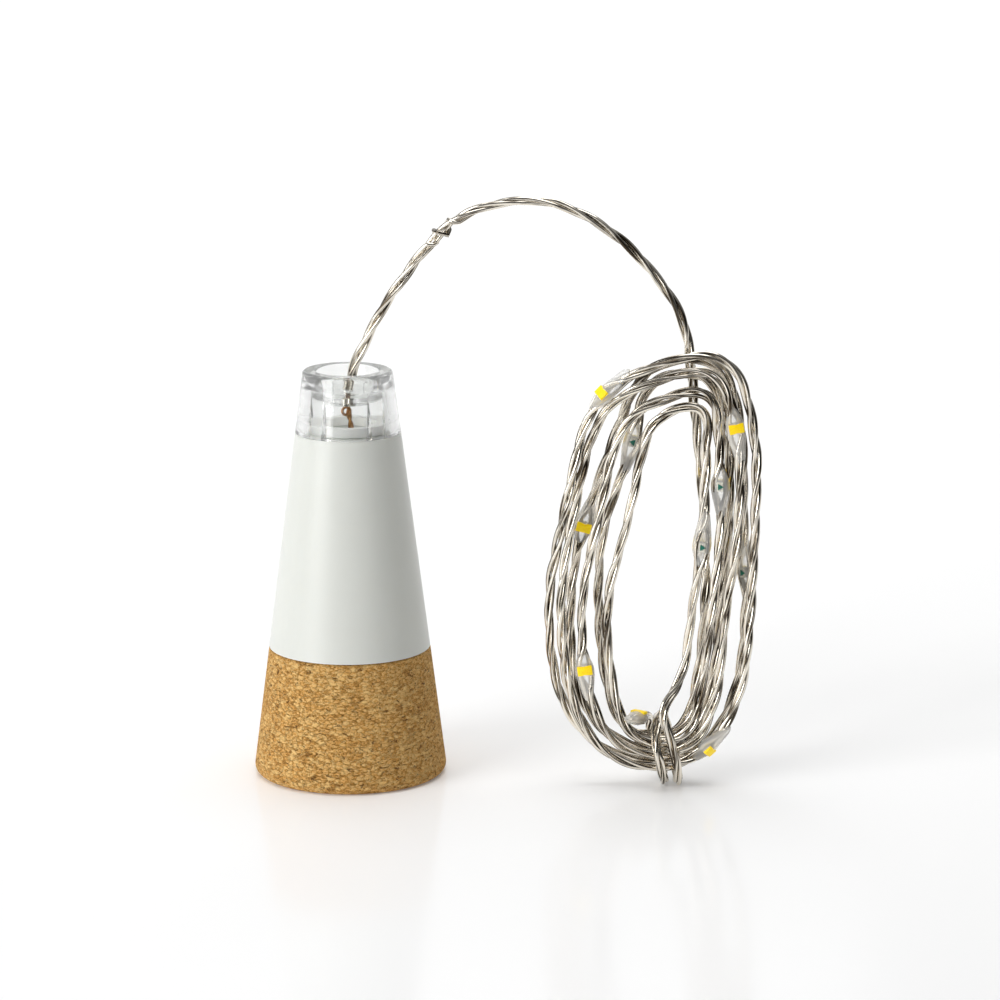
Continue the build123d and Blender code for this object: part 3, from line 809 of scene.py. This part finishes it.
class BOTTLELIGHT_OT_works(Operator):
    """Finishes the board, the cell and their wires inside the housing"""
    bl_idname = "bottle_light.works"
    bl_label = "Works"

    def execute(self, context):
        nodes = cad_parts
        give(nodes["circuit_board"], board_material())
        give(nodes["board_chips"], moulded_material("black_epoxy_package", linear("#151515"), roughness=0.6,
                                                    grain=0.1 * MM))
        give(nodes["board_passives"], grainy_material("fired_ceramic", linear("#B79D73"), linear("#8F7853"),
                                                      grain=0.2 * MM, roughness=0.5))
        give(nodes["cell_pad"], grainy_material("closed_cell_foam", linear("#4A4A4C"), linear("#2E2E30"),
                                                grain=0.35 * MM, roughness=0.9))
        give(nodes["battery_cell"], metal_material("aluminium_foil_pouch", linear("#D5D7DA"), linear("#AEB1B5"),
                                                   roughness=0.32, patch=3.0 * MM))
        give(nodes["cell_lead_red"], moulded_material("red_pvc", linear("#B01818"), roughness=0.4, grain=0.15 * MM))
        give(nodes["cell_lead_black"], moulded_material("black_pvc", linear("#141414"), roughness=0.4, grain=0.15 * MM))
        return {"FINISHED"}


class BOTTLELIGHT_OT_tip(Operator):
    """Finishes the clear tip with the lead and the knot under its well"""
    bl_idname = "bottle_light.tip"
    bl_label = "Clear tip"

    def execute(self, context):
        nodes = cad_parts
        # Moulded acrylic: clear, with faint flow ripples
        give(nodes["tip_lens"], clear_material("moulded_acrylic", linear("#F5F6F5"), ior=1.46, ripple=2.5 * MM,
                                               strength=0.06, roughness=0.02, clarity=1.0, body=0.94))
        # Enamelled copper: dull brown shine
        copper = metal_material("enamelled_copper", linear("#C4935F"), linear("#85592F"), roughness=0.3,
                                patch=0.8 * MM, coat=0.4)
        step, lay, offset, radius = 0.25 * MM, 3.4 * MM, 0.21 * MM, 0.2 * MM
        points = even_steps(route_points([Vector(place) for place in COPPER_ROUTE], 24), step)
        lines = []
        for half_turn in (0, math.pi):
            line = []
            for index, (point, (_, side, other)) in enumerate(zip(points, carried_frames(points))):
                angle = 2 * math.pi * index * step / lay + half_turn
                line.append(point + (side * math.cos(angle) + other * math.sin(angle)) * offset)
            lines.append(line)
        lead = tube_mesh("copper_lead", lines, radius, sides=9, step=step)
        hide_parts("inner_lead")
        deselect_all()
        bpy.ops.mesh.primitive_torus_add(
            location=middle("lead_knot") + Vector((-0.2, -0.45, 0.0)) * MM, rotation=(math.radians(78), 0.2, 0),
            major_segments=36, minor_segments=12, major_radius=0.55 * MM, minor_radius=radius)
        knot = bpy.context.object
        knot.name = "copper_knot"
        settle(knot)
        smooth(knot, 60)
        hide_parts("lead_knot")
        for piece in (lead, knot):
            give(piece, copper)
            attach(piece, "light_unit")
        return {"FINISHED"}


class BOTTLELIGHT_OT_stage(Operator):
    """Makes the pale floor, the soft lights and the camera"""
    bl_idname = "bottle_light.stage"
    bl_label = "Stage"

    def execute(self, context):
        deselect_all()
        bpy.ops.mesh.primitive_plane_add(size=12.0)
        floor = bpy.context.object
        floor.name = "floor"
        material, tree = new_material("white_acrylic_sheet")
        place = object_place(tree)
        clouds = add_node(tree, "ShaderNodeTexNoise", {"Vector": place, "Scale": 4.0, "Detail": 1.0})
        tone = colour_ramp(tree, clouds.outputs[0], (0.0, grey(0.94)), (1.0, grey(0.96)))
        # The sweep is lit from below towards its back
        depth = add_node(tree, "ShaderNodeSeparateXYZ", {"Vector": place}).outputs["Y"]
        glow = add_node(tree, "ShaderNodeMapRange", {"Value": depth, "From Min": -0.1, "From Max": 0.9, "To Min": 0.07,
                                                    "To Max": 0.56}).outputs[0]
        shader = add_node(tree, "ShaderNodeBsdfPrincipled", {
            "Base Color": tone, "Roughness": 0.14, "IOR": 1.2, "Emission Color": grey(1.0), "Emission Strength": glow})
        end_material(tree, shader)
        give(floor, material)
        for name, place, aim, size, power in SOFT_BOXES:
            lamp = bpy.data.lights.new(name, "AREA")
            lamp.shape = "SQUARE"
            lamp.size = size
            lamp.energy = power
            light = bpy.data.objects.new(name, lamp)
            context.scene.collection.objects.link(light)
            light.location = place
            light.rotation_euler = (Vector(aim) - Vector(place)).to_track_quat("-Z", "Y").to_euler()
        # White sweep behind, up to about 30 degrees over the horizon, in a dim room
        world = bpy.data.worlds.new("studio")
        world.use_nodes = True
        tree = world.node_tree
        tree.nodes.clear()
        way = add_node(tree, "ShaderNodeTexCoord", {}).outputs["Generated"]
        split = add_node(tree, "ShaderNodeSeparateXYZ", {"Vector": way})
        rise = split.outputs["Z"]
        sweep = colour_ramp(tree, rise, (0.0, grey(0.70)), (0.35, grey(0.66)), (0.60, grey(0.32)), (1.0, grey(0.36)))
        room = colour_ramp(tree, rise, (0.0, grey(0.04)), (0.35, grey(0.06)), (0.62, grey(0.30)), (1.0, grey(0.36)))
        facing = add_node(tree, "ShaderNodeVectorMath", {0: way, 1: (0.0, 1.0, 0.0)}, operation="DOT_PRODUCT")
        behind = add_node(tree, "ShaderNodeMapRange", {"Value": facing.outputs["Value"], "From Min": -0.25,
                                                      "From Max": 0.5}).outputs[0]
        sky = blend(tree, behind, room, sweep)
        # A dark flag stands to the right
        flag = add_node(tree, "ShaderNodeMapRange", {"Value": split.outputs["X"], "From Min": 0.2, "From Max": 0.8,
                                                    "To Min": 1.0, "To Max": 0.45}).outputs[0]
        background = add_node(tree, "ShaderNodeBackground", {"Color": sky, "Strength": flag})
        add_node(tree, "ShaderNodeOutputWorld", {"Surface": background.outputs[0]})
        context.scene.world = world
        camera_data = bpy.data.cameras.new("camera")
        camera_data.lens = CAMERA_LENS
        camera_data.sensor_width = CAMERA_SENSOR
        camera_data.clip_start = 0.01
        camera = bpy.data.objects.new("camera", camera_data)
        context.scene.collection.objects.link(camera)
        camera.location = CAMERA_PLACE
        camera.rotation_euler = (math.radians(90 - CAMERA_DIP), 0, 0)
        context.scene.camera = camera
        context.scene.view_settings.view_transform = "Standard"
        # Light runs round inside the clear tip's rim
        context.scene.cycles.glossy_bounces = 12
        return {"FINISHED"}


class BOTTLELIGHT_PT_panel(Panel):
    """Lists the pieces of the bottle light"""
    bl_label = "Bottle Light"
    bl_space_type = "VIEW_3D"
    bl_region_type = "UI"
    bl_category = "Bottle Light"

    def draw(self, context):
        for operator in OPERATORS:
            self.layout.operator(operator.bl_idname)


OPERATORS = (BOTTLELIGHT_OT_stage, BOTTLELIGHT_OT_string, BOTTLELIGHT_OT_cork_cap, BOTTLELIGHT_OT_housing,
             BOTTLELIGHT_OT_plug, BOTTLELIGHT_OT_works, BOTTLELIGHT_OT_tip)
GROUPS = (StringSizes, Finishes)
CLASSES = GROUPS + OPERATORS + (BOTTLELIGHT_PT_panel,)


def register():
    for item in CLASSES:
        bpy.utils.register_class(item)
    bpy.types.Scene.bottle_string = PointerProperty(type=StringSizes)
    bpy.types.Scene.bottle_finishes = PointerProperty(type=Finishes)


def unregister():
    del bpy.types.Scene.bottle_finishes
    del bpy.types.Scene.bottle_string
    for item in reversed(CLASSES):
        bpy.utils.unregister_class(item)


def main():
    """Registers the add-on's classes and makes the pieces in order."""
    register()
    bpy.ops.bottle_light.stage()
    bpy.ops.bottle_light.wire_string()
    bpy.ops.bottle_light.cork_cap()
    bpy.ops.bottle_light.housing()
    bpy.ops.bottle_light.plug()
    bpy.ops.bottle_light.works()
    bpy.ops.bottle_light.tip()


if __name__ == "__main__":
    main()
